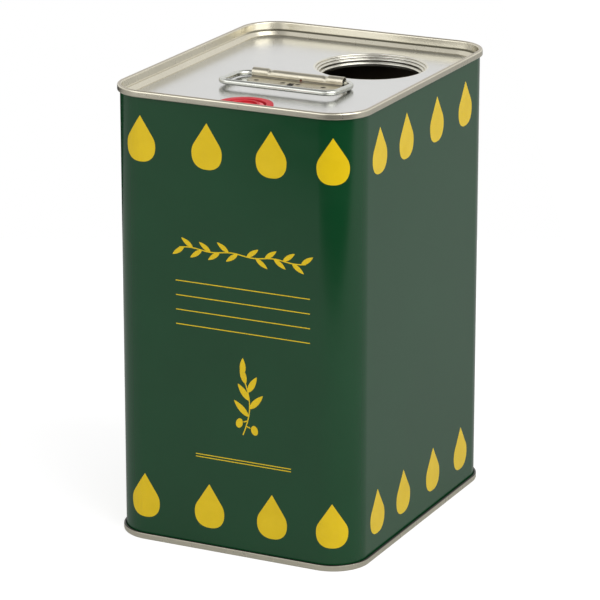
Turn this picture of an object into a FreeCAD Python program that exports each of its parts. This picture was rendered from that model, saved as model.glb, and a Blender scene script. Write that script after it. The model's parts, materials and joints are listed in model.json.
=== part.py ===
import FreeCAD, Part
import math
import os

from FreeCAD import Vector

# Three-litre rectangular oil tin, in millimetres.
# The tin stands on z = 0 with its middle at x = y = 0; the wide label face looks along -Y.

# Tin, over the body wall and over both seams
body_width = 116.0
body_depth = 145.0
tin_height = 203.2
corner_radius = 16.0
plate = 0.30

# Double seams: the folded layers lie one gap apart, and the compound fills that gap
seam_height = 3.0
seam_gap = 0.10
seam_crown_flat = 0.30
compound_clearance = 0.02

# Recessed end panels: rim crown down to a narrow ledge, then a sloping drop to the flat panel
countersink_depth = 3.8
ledge_width = 0.25
panel_drop = 2.0
panel_drop_angle = 55.0
panel_bend_radius = 0.40
panel_margin = 0.8

# Expansion step in the bottom panel
bottom_step_setback = 3.0
bottom_step_drop = 0.9
bottom_step_angle = 40.0

# Welded lap down the left face of the body
weld_lap_width = 0.9
weld_lap_height = 0.12
weld_from_rear = 34.0

# Pouring mouth: a neck drawn down through the top panel in three steps
mouth_setback = 40.5
mouth_radius = 24.4
mouth_first_drop = 1.0
mouth_ring_radius = 23.6
mouth_second_drop = 1.1
mouth_ledge_radius = 22.8
mouth_third_drop = 1.6
neck_radius = 22.0
neck_length = 1.3
mouth_bend_radius = 0.20
mouth_apron = 0.6

# Handle clip: a hat-section strip welded to the panel, with a tunnel along X
clip_x = 1.1
clip_y = -7.0
clip_length = 43.8
clip_plate = 0.40
clip_flange = 6.5
clip_foot_radius = 0.40
clip_corner_radius = 3.0
tunnel_radius = 1.70
tunnel_height = 3.80
crimp_height = 3.10
saddle_height = 3.45
crimp_offset = 13.3
crimp_half_length = 1.5
notch_width = 2.8
notch_depth = 2.8

# Carrying bail of round wire, its two ends turned into the clip's tunnel
wire_diameter = 2.6
bail_width = 54.6
bail_reach = 24.0
bail_corner_radius = 5.0
bail_hook_radius = 6.5
bail_tip_length = 12.0
bail_lift_angle = 2.8
bail_floor_clearance = 0.15

# Spout base: a flanged collar snapped into a hole in the top panel
spout_x = -0.6
spout_setback = 16.4
spout_flange_radius = 12.5
spout_flange_height = 0.80
spout_flange_edge = 0.30
spout_barrel_radius = 10.4
spout_barrel_length = 23.0
spout_hole_clearance = 0.10
snap_bead_height = 0.40
snap_bead_length = 1.4
snap_bead_clearance = 0.05
recess_radius = 9.4
recess_depth = 6.4
guide_thickness = 1.2
well_radius = 8.9

# Pull-up spout tube
tube_radius = 6.6
tube_wall = 1.0
tube_foot_thickness = 1.2
tube_foot_setback = 0.5
tube_lip_radius = 0.30
slide_clearance = 0.30

# Screw cap on the tube, with its sealing disc
cap_radius = 8.7
cap_sink = 0.6
cap_top_thickness = 1.0
cap_edge = 0.30
cap_floor_clearance = 0.30
liner_thickness = 0.8
flute_radius = 0.30
flute_count = 24

# Half-ring pull on the cap
pull_radius = 6.0
pull_width = 1.2
pull_height = 0.80
pull_clearance = 0.05
pivot_radius = 0.30
pivot_length = 1.2
pivot_clearance = 0.05
lug_thickness = 1.2
lug_width = 1.6
lug_height = 0.90

cut_overrun = 1.0

# Sizes worked out from the ones above
hook_radius = plate / 2 + seam_gap
crown_span = 4 * (plate + seam_gap)
crown_radius = (crown_span - seam_crown_flat - plate) / 2
crown_rise = hook_radius + plate + seam_gap - crown_radius
crown_plane = tin_height - crown_radius - plate
hook_plane = crown_plane - crown_rise
hook_length = seam_height - (tin_height - hook_plane) - hook_radius - plate
panel_top = tin_height - countersink_depth - panel_drop
panel_middle = panel_top - plate / 2
mouth_x = body_width / 2 - mouth_setback
mouth_y = body_depth / 2 - mouth_setback
spout_y = spout_setback - body_depth / 2
flange_top = panel_top + spout_flange_height
recess_floor = flange_top - recess_depth
guide_underside = recess_floor - guide_thickness
barrel_bottom = panel_top - spout_barrel_length
guide_radius = tube_radius + slide_clearance
cap_face = flange_top - cap_sink
cap_underside = cap_face - cap_top_thickness
cap_bottom = recess_floor + cap_floor_clearance
tube_top = cap_underside - liner_thickness
tube_bottom = barrel_bottom + tube_foot_setback
spout_travel = guide_underside - tube_bottom - tube_foot_thickness - slide_clearance
bail_axis_z = panel_top + wire_diameter / 2 + bail_floor_clearance

UP = Vector(0, 0, 1)
FULL_TURN = 360
HALF_TURN = 180
QUARTER_TURN = 90


def run(length):
    """A straight stretch of folded sheet."""
    return ("run", length)


def bend(degrees, inside_radius):
    """A fold in the sheet: left turns are positive."""
    return ("bend", degrees, inside_radius)


def walk(start, heading, moves, thickness, side):
    """Edges of one side of a folded sheet, and the point where it ends.

    The sheet's middle line starts at start, in the plane of across and up, and heads at heading degrees.
    side is 1 for the sheet's left face, -1 for its right face and 0 for its middle line.
    """
    middle = Vector(start[0], 0, start[1])
    angle = math.radians(heading)
    offset = side * thickness / 2
    edges = []

    def left_of(direction):
        return Vector(-math.sin(direction), 0, math.cos(direction))

    for move in moves:
        first = middle + left_of(angle) * offset
        if move[0] == "run":
            middle = middle + Vector(math.cos(angle), 0, math.sin(angle)) * move[1]
            last = middle + left_of(angle) * offset
            edges.append(Part.LineSegment(first, last).toShape())
            continue
        turn = math.radians(move[1])
        hand = math.copysign(1, turn)
        middle_radius = move[2] + thickness / 2
        centre = middle + left_of(angle) * (hand * middle_radius)
        side_radius = middle_radius - hand * offset
        halfway = centre - left_of(angle + turn / 2) * (hand * side_radius)
        last = centre - left_of(angle + turn) * (hand * side_radius)
        edges.append(Part.Arc(first, halfway, last).toShape())
        angle += turn
        middle = centre - left_of(angle) * (hand * middle_radius)
    return edges, middle + left_of(angle) * offset


def bent_sheet(start, heading, moves, thickness):
    """Section of a folded sheet, as a face in the plane of across (X) and up (Z)."""
    left, left_end = walk(start, heading, moves, thickness, 1)
    right, right_end = walk(start, heading, moves, thickness, -1)
    left_start = left[0].valueAt(left[0].FirstParameter)
    right_start = right[0].valueAt(right[0].FirstParameter)
    caps = [Part.LineSegment(left_end, right_end).toShape(), Part.LineSegment(right_start, left_start).toShape()]
    outline = Part.Wire(Part.__sortEdges__(left + right + caps))
    return Part.Face(outline)


def sheet_end(start, heading, moves, thickness):
    """Point where a folded sheet's middle line ends, as across and up."""
    end = walk(start, heading, moves, thickness, 0)[1]
    return end.x, end.z


def joined(shapes):
    """One solid from shapes that meet face to face or overlap."""
    return shapes[0].multiFuse(shapes[1:]).removeSplitter().Solids[0]


def around_tin(section):
    """Carry a section, drawn outward from a corner's centre, round the tin's rounded rectangle."""
    half_x = body_width / 2 - corner_radius
    half_y = body_depth / 2 - corner_radius
    corners = [
        (half_x, half_y, 2 * half_y),
        (-half_x, half_y, 2 * half_x),
        (-half_x, -half_y, 2 * half_y),
        (half_x, -half_y, 2 * half_x),
    ]
    pieces = []
    for turn, (x, y, side_length) in enumerate(corners):
        corner = section.revolve(Vector(), UP, QUARTER_TURN)
        side = section.extrude(Vector(0, -side_length, 0))
        for piece in (corner, side):
            piece.rotate(Vector(), UP, turn * QUARTER_TURN)
            piece.translate(Vector(x, y, 0))
            pieces.append(piece)
    return joined(pieces)


def rounded_plate(outset, bottom, thickness):
    """Flat plate that follows the tin's outline, outset from the body wall."""
    radius = corner_radius + outset
    half_x = body_width / 2 - corner_radius
    half_y = body_depth / 2 - corner_radius
    lengthwise = Part.makeBox(2 * half_x, 2 * (half_y + radius), thickness)
    lengthwise.translate(Vector(-half_x, -half_y - radius, bottom))
    crosswise = Part.makeBox(2 * (half_x + radius), 2 * half_y, thickness)
    crosswise.translate(Vector(-half_x - radius, -half_y, bottom))
    pieces = [lengthwise, crosswise]
    for x in (-half_x, half_x):
        for y in (-half_y, half_y):
            pieces.append(Part.makeCylinder(radius, thickness, Vector(x, y, bottom)))
    return joined(pieces)


def turned(section, x, y):
    """Round solid from a section drawn outward from its axis, set at x and y."""
    solid = section.revolve(Vector(), UP, FULL_TURN)
    solid = solid if solid.ShapeType == "Solid" else solid.Solids[0]
    solid.translate(Vector(x, y, 0))
    return solid


def outline_face(points):
    """Flat section with straight sides, from points given as across and up."""
    corners = [Vector(across, 0, up) for across, up in points]
    return Part.Face(Part.makePolygon(corners + corners[:1]))


def level_circles(solid, radius, height):
    """The round edges of a solid at one radius and height."""
    nearness = plate / 10
    found = []
    for edge in solid.Edges:
        curve = edge.Curve
        if not isinstance(curve, Part.Circle) or abs(curve.Axis.z) < 0.5:
            continue
        if abs(curve.Radius - radius) < nearness and abs(curve.Center.z - height) < nearness:
            found.append(edge)
    return found


def sloping_drop(drop, angle):
    """Two folds and a slope that take the sheet down by drop."""
    middle_radius = panel_bend_radius + plate / 2
    turn = math.radians(angle)
    slope = (drop - 2 * middle_radius * (1 - math.cos(turn))) / math.sin(turn)
    return [bend(angle, panel_bend_radius), run(slope), bend(-angle, panel_bend_radius)]


def end_moves():
    """Folds of an end's rim: cover hook, outer wall of the seam, crown, chuck wall, ledge and drop."""
    chuck_wall = countersink_depth - crown_radius - plate - panel_bend_radius
    hook = [run(hook_length), bend(HALF_TURN, hook_radius)]
    outer_wall = [run(hook_length + crown_rise)]
    crown = [bend(QUARTER_TURN, crown_radius), run(seam_crown_flat), bend(QUARTER_TURN, crown_radius)]
    ledge = [run(chuck_wall), bend(-QUARTER_TURN, panel_bend_radius), run(ledge_width)]
    return hook + outer_wall + crown + ledge + sloping_drop(panel_drop, panel_drop_angle) + [run(panel_margin)]


def stamped_end(moves):
    """An end with its rim on top: the swept rim closed by a flat panel."""
    start = (corner_radius + seam_gap + plate / 2, hook_plane)
    heading_down = -QUARTER_TURN
    rim = around_tin(bent_sheet(start, heading_down, moves, plate))
    across, up = sheet_end(start, heading_down, moves, plate)
    return rim, rounded_plate(across - corner_radius, up - plate / 2, plate)


def make_body_shell():
    """Printed body sheet: a tube with a hook turned outward at each end and a welded lap."""
    hook_middle = corner_radius + plate / 2 + 2 * hook_radius
    wall_length = 2 * hook_plane - tin_height
    hook = [run(hook_length), bend(-HALF_TURN, hook_radius)]
    moves = hook + [run(wall_length)] + hook[::-1]
    start = (hook_middle, tin_height - hook_plane + hook_length)
    tube = around_tin(bent_sheet(start, -QUARTER_TURN, moves, plate))
    lap_height = tin_height - 2 * seam_height
    lap = Part.makeBox(weld_lap_height + plate, weld_lap_width, lap_height)
    lap_left = -body_width / 2 - weld_lap_height
    lap.translate(Vector(lap_left, body_depth / 2 - weld_from_rear - weld_lap_width / 2, seam_height))
    return joined([tube, lap])


def make_neck():
    """Mouth's stepped neck: an apron, three walls each with a narrow ledge, and the straight neck."""
    middle_radius = mouth_bend_radius + plate / 2
    down = bend(QUARTER_TURN, mouth_bend_radius)
    level = bend(-QUARTER_TURN, mouth_bend_radius)
    steps = (
        (mouth_first_drop, mouth_radius - mouth_ring_radius),
        (mouth_second_drop, mouth_ring_radius - mouth_ledge_radius),
        (mouth_third_drop, mouth_ledge_radius - neck_radius),
    )
    moves = [run(mouth_apron)]
    for drop, ledge in steps:
        moves += [down, run(drop - 2 * middle_radius), level, run(ledge - 2 * middle_radius)]
    moves += [down, run(neck_length - middle_radius)]
    hole_radius = mouth_radius + plate / 2 + middle_radius + mouth_apron
    neck = turned(bent_sheet((hole_radius, panel_middle), HALF_TURN, moves, plate), mouth_x, mouth_y)
    return neck, hole_radius


def make_top_end():
    """Top end: seamed rim, recessed panel, drawn mouth and the hole for the spout."""
    rim, panel = stamped_end(end_moves())
    neck, mouth_hole_radius = make_neck()
    hole_base = panel_middle - plate
    hole_depth = 2 * plate
    mouth_hole = Part.makeCylinder(mouth_hole_radius, hole_depth, Vector(mouth_x, mouth_y, hole_base))
    spout_hole_radius = spout_barrel_radius + spout_hole_clearance
    spout_hole = Part.makeCylinder(spout_hole_radius, hole_depth, Vector(spout_x, spout_y, hole_base))
    return joined([rim, panel.cut(mouth_hole).cut(spout_hole), neck])


def make_bottom_end():
    """Bottom end: the same rim turned over, with one more expansion step in its panel."""
    step = [run(bottom_step_setback)] + sloping_drop(bottom_step_drop, bottom_step_angle) + [run(panel_margin)]
    rim, panel = stamped_end(end_moves() + step)
    return joined([rim, panel]).mirror(Vector(0, 0, tin_height / 2), UP)


def make_seam_compound():
    """Sealing film in the top seam, over the body hook and down both of its sides."""
    film = seam_gap - 2 * compound_clearance
    inside_radius = crown_radius - seam_gap / 2 - film / 2
    over = bend(-QUARTER_TURN, inside_radius)
    leg = run(hook_length + crown_rise)
    start = (corner_radius - plate - seam_gap / 2, hook_plane - hook_length)
    return around_tin(bent_sheet(start, QUARTER_TURN, [leg, over, run(seam_crown_flat), over, leg], film))


def clip_section(station, height):
    """Outline of the clip's hat section at one station along X, for one tunnel height."""
    foot = bend(QUARTER_TURN, clip_foot_radius)
    wall = run(height - tunnel_radius - clip_plate - clip_foot_radius)
    moves = [run(clip_flange), foot, wall, bend(-HALF_TURN, tunnel_radius), wall, foot, run(clip_flange)]
    front = -(tunnel_radius + clip_plate + clip_foot_radius + clip_flange)
    outline = bent_sheet((front, panel_top + clip_plate / 2), 0, moves, clip_plate).OuterWire
    outline.rotate(Vector(), UP, QUARTER_TURN)
    outline.translate(Vector(clip_x + station, clip_y, 0))
    return outline


def make_handle_clip():
    """Handle clip: full tunnel at both ends, a crimp inside each, and a lower saddle between."""
    half_length = clip_length / 2
    rising = [
        (half_length, tunnel_height),
        (crimp_offset + crimp_half_length, tunnel_height),
        (crimp_offset, crimp_height),
        (crimp_offset - crimp_half_length, saddle_height),
    ]
    stations = [(-station, height) for station, height in rising] + rising[::-1]
    strip = Part.makeLoft([clip_section(station, height) for station, height in stations], True, True)
    corners = []
    for edge in strip.Edges:
        ends = [vertex.Point for vertex in edge.Vertexes]
        upright = len(ends) == 2 and abs(ends[0].z - ends[1].z) > clip_plate / 2
        flange_end = abs(edge.CenterOfMass.y - clip_y) > tunnel_radius + clip_plate + clip_foot_radius
        if upright and flange_end and abs(edge.CenterOfMass.x - clip_x) > half_length - clip_plate:
            corners.append(edge)
    strip = strip.makeFillet(clip_corner_radius, corners)
    half_width = tunnel_radius + clip_plate + clip_foot_radius + clip_flange
    for side in (-1, 1):
        notch = Part.makeBox(notch_width, 2 * notch_depth, 2 * cut_overrun)
        edge_y = clip_y + side * half_width
        notch.translate(Vector(clip_x - notch_width / 2, edge_y - notch_depth, panel_top - cut_overrun / 2))
        strip = strip.cut(notch)
    return strip.Solids[0]


def make_handle_bail():
    """Carrying bail: one wire, round the front and into the tunnel from both sides."""
    half = bail_width / 2
    turn_share = 1 - math.sqrt(0.5)
    hook_turn = bail_hook_radius * turn_share
    corner_turn = bail_corner_radius * turn_share

    def line(start, end):
        return Part.LineSegment(Vector(*start), Vector(*end)).toShape()

    def arc(start, middle, end):
        return Part.Arc(Vector(*start), Vector(*middle), Vector(*end)).toShape()

    edges = []
    for side in (-1, 1):
        tip = (side * (half - bail_tip_length), 0)
        hook_start = (side * (half - bail_hook_radius), 0)
        hook_middle = (side * (half - hook_turn), -hook_turn)
        hook_end = (side * half, -bail_hook_radius)
        corner_start = (side * half, bail_corner_radius - bail_reach)
        corner_middle = (side * (half - corner_turn), corner_turn - bail_reach)
        corner_end = (side * (half - bail_corner_radius), -bail_reach)
        edges.append(line(tip, hook_start))
        edges.append(arc(hook_start, hook_middle, hook_end))
        edges.append(line(hook_end, corner_start))
        edges.append(arc(corner_start, corner_middle, corner_end))
    front = half - bail_corner_radius
    edges.append(line((-front, -bail_reach), (front, -bail_reach)))
    path = Part.Wire(Part.__sortEdges__(edges))
    tip_left = Vector(bail_tip_length - half, 0, 0)
    ring = Part.Wire(Part.makeCircle(wire_diameter / 2, tip_left, Vector(1, 0, 0)))
    bail = path.makePipeShell([ring], True, True)
    bail.rotate(Vector(), Vector(1, 0, 0), -bail_lift_angle)
    bail.translate(Vector(clip_x, clip_y, bail_axis_z))
    return bail if bail.ShapeType == "Solid" else bail.Solids[0]


def make_spout_base():
    """Collar: flange on the panel, snap bead under it, a recess for the cap and a well for the tube."""
    bead_top = panel_top - plate - snap_bead_clearance
    bead_bottom = bead_top - snap_bead_length
    bead_radius = spout_barrel_radius + spout_hole_clearance + snap_bead_height
    section = outline_face([
        (recess_radius, flange_top),
        (spout_flange_radius, flange_top),
        (spout_flange_radius, panel_top),
        (spout_barrel_radius, panel_top),
        (spout_barrel_radius, bead_top),
        (bead_radius, bead_top - snap_bead_height),
        (spout_barrel_radius, bead_bottom),
        (spout_barrel_radius, barrel_bottom),
        (well_radius, barrel_bottom),
        (well_radius, guide_underside),
        (guide_radius, guide_underside),
        (guide_radius, recess_floor),
        (recess_radius, recess_floor),
    ])
    collar = turned(section, spout_x, spout_y)
    rims = level_circles(collar, spout_flange_radius, flange_top) + level_circles(collar, recess_radius, flange_top)
    return collar.makeFillet(spout_flange_edge, rims).Solids[0]


def make_spout_tube():
    """Sliding tube: thin wall, rounded pouring lip, and a foot that the guide stops."""
    bore_radius = tube_radius - tube_wall
    foot_radius = well_radius - slide_clearance
    section = outline_face([
        (bore_radius, tube_bottom),
        (foot_radius, tube_bottom),
        (foot_radius, tube_bottom + tube_foot_thickness),
        (tube_radius, tube_bottom + tube_foot_thickness),
        (tube_radius, tube_top),
        (bore_radius, tube_top),
    ])
    tube = turned(section, spout_x, spout_y)
    return tube.makeFillet(tube_lip_radius, level_circles(tube, tube_radius, tube_top)).Solids[0]


def make_spout_cap():
    """Screw cap: flat top, fluted skirt round the tube, and two lugs for the pull's pivots."""
    skirt_radius = tube_radius + slide_clearance
    section = outline_face([
        (0, cap_face),
        (cap_radius, cap_face),
        (cap_radius, cap_bottom),
        (skirt_radius, cap_bottom),
        (skirt_radius, cap_underside),
        (0, cap_underside),
    ])
    cap = turned(section, spout_x, spout_y)
    cap = cap.makeFillet(cap_edge, level_circles(cap, cap_radius, cap_face))
    flute_height = cap_underside - cap_bottom
    for step in range(flute_count):
        angle = step * 2 * math.pi / flute_count
        place = Vector(spout_x, spout_y, cap_bottom) + Vector(math.cos(angle), math.sin(angle), 0) * cap_radius
        cap = cap.cut(Part.makeCylinder(flute_radius, flute_height, place))
    pivot_z = cap_face + pull_clearance + pull_height / 2
    lug_inner = pull_radius + pull_width / 2 + pull_clearance
    lugs = []
    for side in (-1, 1):
        lug = Part.makeBox(lug_thickness, lug_width, lug_height + cap_top_thickness / 2)
        lug_middle = side * (lug_inner + lug_thickness / 2)
        lug_corner = Vector(lug_middle - lug_thickness / 2, -lug_width / 2, 0)
        lug.translate(lug_corner + Vector(spout_x, spout_y, cap_face - cap_top_thickness / 2))
        lugs.append(lug)
    cap = joined([cap] + lugs)
    bore_length = 2 * (lug_inner + lug_thickness + cut_overrun)
    bore_start = Vector(spout_x - bore_length / 2, spout_y, pivot_z)
    return cap.cut(Part.makeCylinder(pivot_radius + pivot_clearance, bore_length, bore_start, Vector(1, 0, 0))).Solids[0]


def make_cap_liner():
    """Sealing disc between the cap and the tube's lip."""
    return Part.makeCylinder(tube_radius, liner_thickness, Vector(spout_x, spout_y, tube_top))


def make_cap_pull():
    """Half-ring pull: it lies on the rear half of the cap and turns on a pivot at each end."""
    pivot_z = pull_height / 2
    outer = Part.makeCylinder(pull_radius + pull_width / 2, pull_height, Vector(), UP, HALF_TURN)
    inner = Part.makeCylinder(pull_radius - pull_width / 2, pull_height + 2 * cut_overrun, Vector(0, 0, -cut_overrun))
    pieces = [outer.cut(inner)]
    along = Vector(1, 0, 0)
    for side in (-1, 1):
        eye_start = side * pull_radius - pull_width / 2
        pieces.append(Part.makeCylinder(pull_height / 2, pull_width, Vector(eye_start, 0, pivot_z), along))
        pivot_start = Vector(side * (pull_radius + pull_width / 2), 0, pivot_z)
        pieces.append(Part.makeCylinder(pivot_radius, pivot_length, pivot_start, along * side))
    pull = joined(pieces)
    pull.translate(Vector(spout_x, spout_y, cap_face + pull_clearance))
    return pull


def main():
    """Build every piece in place and write one file for each."""
    os.makedirs("parts", exist_ok=True)
    top_compound = make_seam_compound()
    nodes = {
        "body_shell": make_body_shell(),
        "top_end": make_top_end(),
        "bottom_end": make_bottom_end(),
        "top_seam_compound": top_compound,
        "bottom_seam_compound": top_compound.mirror(Vector(0, 0, tin_height / 2), UP),
        "handle_clip": make_handle_clip(),
        "handle_bail": make_handle_bail(),
        "spout_base": make_spout_base(),
        "spout_tube": make_spout_tube(),
        "spout_cap": make_spout_cap(),
        "cap_liner": make_cap_liner(),
        "cap_pull": make_cap_pull(),
    }
    for name, shape in nodes.items():
        shape.exportStep(os.path.join("parts", name + ".step"))
        box = shape.optimalBoundingBox()
        corners = (box.XMin, box.YMin, box.ZMin, box.XMax, box.YMax, box.ZMax)
        print(name, shape.ShapeType, shape.isValid(), round(shape.Volume, 2), [round(v, 2) for v in corners])
    print("seam hooks overlap by", round(hook_length, 3), "and the spout travels", round(spout_travel, 3))


main()
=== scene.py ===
import json
import math

import bmesh
import bpy
from mathutils import Matrix, Vector


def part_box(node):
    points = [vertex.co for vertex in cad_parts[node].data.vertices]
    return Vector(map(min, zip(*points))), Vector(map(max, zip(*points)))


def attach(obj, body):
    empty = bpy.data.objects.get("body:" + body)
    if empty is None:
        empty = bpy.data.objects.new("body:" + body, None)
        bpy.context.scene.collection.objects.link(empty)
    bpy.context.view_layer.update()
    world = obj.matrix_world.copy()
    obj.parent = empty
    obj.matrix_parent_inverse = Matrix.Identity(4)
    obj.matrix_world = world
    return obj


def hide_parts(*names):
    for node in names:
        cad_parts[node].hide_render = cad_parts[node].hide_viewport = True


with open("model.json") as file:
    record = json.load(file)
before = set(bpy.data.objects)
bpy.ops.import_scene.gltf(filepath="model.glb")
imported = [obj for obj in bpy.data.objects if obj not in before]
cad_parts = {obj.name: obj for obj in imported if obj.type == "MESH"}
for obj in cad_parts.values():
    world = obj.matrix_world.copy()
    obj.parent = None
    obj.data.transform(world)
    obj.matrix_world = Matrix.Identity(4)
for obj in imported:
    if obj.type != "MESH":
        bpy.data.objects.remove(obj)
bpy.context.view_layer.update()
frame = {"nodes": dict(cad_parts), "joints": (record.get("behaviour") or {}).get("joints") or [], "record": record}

# Lengths are in metres and angles in degrees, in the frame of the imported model.

# Tin sheet, its seams and its recessed ends
plate = 0.0003
seam_gap = 0.0001
seam_height = 0.0030
seam_crown_flat = 0.0003
corner_radius = 0.0160
countersink_depth = 0.0038
ledge_width = 0.00025
panel_drop = 0.0020
panel_drop_angle = 55
panel_bend_radius = 0.0004
panel_margin = 0.0008
bottom_step_setback = 0.0030
bottom_step_drop = 0.0009
bottom_step_angle = 40

# Painted shade and a painted dark reflection on the rims
wall_foot_shade_rise = 0.0001
wall_foot_shade_half_width = 0.0005
wall_foot_shade_reach = 0.0200
seam_edge_shade_half_width = 0.00055
crown_dark_reflection_depth = 0.0002

# Pouring mouth: each ledge with its drop and its inner radius
mouth_radius = 0.0244
mouth_ledges = ((0.0010, 0.0236), (0.0011, 0.0228), (0.0016, 0.0220))
neck_length = 0.0013
mouth_bend_radius = 0.0002
mouth_apron = 0.0006

# Welded lap and the unprinted margin beside it
weld_lap_width = 0.0009
weld_lap_height = 0.00012
weld_crown_share = 0.6
weld_from_rear = 0.0340
weld_margin_width = 0.0070

# Print: drops in two rows; their places run along the wall from the middle of the label face
ink_lift = 0.00002
drop_radius = 0.0072
drop_tip_height = 0.0131
drop_foot_power = 0.85
top_row_height = 0.1793
bottom_row_height = 0.0176
seen_drops = (-0.0419, -0.0101, 0.0203, 0.0486, 0.0781, 0.1051, 0.1369, 0.1676)
drops_before_weld = 5
drops_after_weld = 3

# Print: ornament on the label face
ornament_x = 0.0065
stem_width = 0.0005
leaf_belly_power = 0.85
leaf_fullness_power = 0.8
garland_height = 0.1365
garland_length = 0.0600
garland_wave_count = 3
garland_leaf_count = 14
garland_leaf_length = 0.0068
garland_leaf_width = 0.0021
garland_leaf_angle = 35
rule_width = 0.0004
rule_length = 0.0640
rule_heights = (0.1215, 0.1150, 0.1085, 0.1020)
foot_rule_length = 0.0460
foot_rule_heights = (0.0440, 0.0428)
sprig_foot_height = 0.0560
sprig_length = 0.0270
sprig_bow_share = 0.12
sprig_bare_share = 0.32
sprig_taper_share = 0.25
sprig_leaf_count = 6
sprig_leaf_length = 0.0105
sprig_leaf_width = 0.0028
sprig_leaf_angle = 48
olive_length = 0.0044
olive_width = 0.0032
olive_angle = 18
olive_out_share = 1.25
olive_down_share = 0.35
olive_shares = (0.16, 0.25)

# Handle clip
clip_plate = 0.0004
clip_flange = 0.0065
clip_foot_radius = 0.0004
clip_corner_radius = 0.0030
tunnel_radius = 0.0017
tunnel_height = 0.0038
crimp_height = 0.0031
saddle_height = 0.00345
crimp_offset = 0.0133
crimp_half_length = 0.0015
notch_width = 0.0028
notch_depth = 0.0028
# Radius of the painted shadow on the panel in the clip's notch
notch_shadow_radius = 0.0030
dent_radius = 0.0011
dent_depth = 0.00022
dent_sharpness = 2
dent_places = ((-0.0170, -0.0074), (-0.0043, -0.0071), (0.0029, -0.0070), (0.0151, -0.0070))
# Dark weld spots, partly scorch and partly painted shade in the dents, and painted shade in the crease at the
# wall's foot
dent_scorch_and_shade_radius = 0.0016
crease_shade_half_width = 0.0004
crease_shade_share = 0.8
rust_place = (0.0020, 0.0010)
rust_radius = 0.0008

# Carrying bail
wire_radius = 0.0013
bail_corner_radius = 0.0050
bail_hook_radius = 0.0065
bail_tip_length = 0.0120
bail_lift_angle = 2.8
wire_end_chamfer = 0.0003

# Spout collar, tube, cap and pull
flange_edge = 0.0003
snap_bead_height = 0.0004
snap_bead_length = 0.0014
snap_bead_clearance = 0.00005
hole_clearance = 0.0001
barrel_radius = 0.0104
recess_radius = 0.0094
recess_depth = 0.0064
guide_thickness = 0.0012
well_radius = 0.0089
slide_clearance = 0.0003
tube_wall = 0.0010
tube_foot_thickness = 0.0012
cap_top_thickness = 0.0010
cap_edge = 0.0003
cap_edge_shares = (0.3, 0.6, 1)
flute_radius = 0.0003
flute_count = 24
gate_radius = 0.0008
gate_depth = 0.0002
gate_shares = (0.25, 0.8)
pull_radius = 0.0060
pull_width = 0.0012
pull_edge = 0.0002
pivot_radius = 0.0003
pivot_length = 0.0012
pivot_end_shares = (0.85, 0.85)
lug_thickness = 0.0012
lug_width = 0.0016
lug_height = 0.0009
lug_edge = 0.00015

# Mesh fineness
bend_step = 15
corner_steps = 24
mouth_steps = 144
spout_steps = 96
wire_steps = 28
path_steps = 14
clip_step = 0.0005
clip_corner_steps = 8
flange_strips = 14
wall_strips = 3
drop_arc_steps = 20
drop_side_steps = 10
drop_columns = 25
leaf_steps = 12
olive_steps = 16
sprig_steps = 16
garland_steps = 4 * garland_leaf_count
flute_steps = 14
cap_steps = flute_count * flute_steps
pull_steps = 40
pivot_steps = 24
edge_shares = (0, 0.25, 0.5, 0.75, 1)
sharp_angle = 40

# Colours as linear red, green and blue: main, second and, where there are three, grain
print_green = ((0.0020, 0.0432, 0.0122), (0.0025, 0.0488, 0.0144), (0.0032, 0.056, 0.0173))
print_yellow = ((0.71, 0.49, 0.0023), (0.765, 0.534, 0.0051), (0.62, 0.428, 0.0045))
panel_tin = ((0.607, 0.607, 0.592), (0.583, 0.583, 0.568))
neck_tin = ((0.68, 0.66, 0.59), (0.65, 0.63, 0.56))
rim_tin = ((0.640, 0.603, 0.492), (0.595, 0.560, 0.455), (0.52, 0.49, 0.40))
clip_tin = ((0.61, 0.575, 0.475), (0.52, 0.485, 0.385), (0.44, 0.405, 0.315))
wire_zinc = ((0.61, 0.62, 0.585), (0.52, 0.53, 0.485), (0.43, 0.44, 0.39))
lacquer_gold = ((0.10, 0.075, 0.045), (0.16, 0.12, 0.075))
collar_red = ((0.58, 0.012, 0.027), (0.50, 0.008, 0.020))
cap_red = ((0.76, 0.065, 0.085), (0.68, 0.050, 0.068))
compound_grey = ((0.22, 0.20, 0.16), (0.30, 0.27, 0.22))
foam_white = ((0.62, 0.61, 0.57), (0.80, 0.79, 0.75))
# Painted shade at the foot of the rear chuck wall, where the groove lies in shade
wall_foot_painted_shade = (0.16, 0.15, 0.11)
# Painted shade in the crevice along the top edge of the bottom seam
seam_edge_painted_shade = (0.020, 0.017, 0.014)
# Painted dark reflection on the crown's top, which also dims its highlight
crown_painted_dark_reflection = (0.40, 0.355, 0.275)
# Painted shadow in the gap under the clip's notch
notch_painted_shadow = (0.012, 0.010, 0.008)
# Weld scorch, and painted shade in the crease and the dents of the clip
scorch_and_painted_shade = (0.05, 0.04, 0.025)
rust_red = (0.10, 0.028, 0.012)

# Surface detail: spans of noise, shares of metal, refraction, depths of bumps, scatter in the plastic
noise_span = (0.3, 0.7)
plate_cloud_span = (0.35, 0.7)
wear_cloud_span = (0.3, 0.75)
seal_pore_span = (0.3, 0.65)
rim_metal_share = 0.93
lacquer_metal_share = 0.6
gloss_refraction = 1.5
sheet_wave_depth = 0.00003
print_wave_depth = 0.00006
print_peel_depth = 0.000002
plate_grain_depth = 0.0000006
lacquer_peel_depth = 0.000003
clip_grain_depth = 0.000012
clip_cloud_depth = 0.00001
wire_draw_depth = 0.000008
wire_cloud_depth = 0.000004
plastic_grain_depth = 0.000004
plastic_flow_depth = 0.00001
seal_pore_depth = 0.00003
plastic_scatter_share = 0.1
plastic_scatter_radius = (0.0008, 0.0003, 0.0002)

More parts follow.
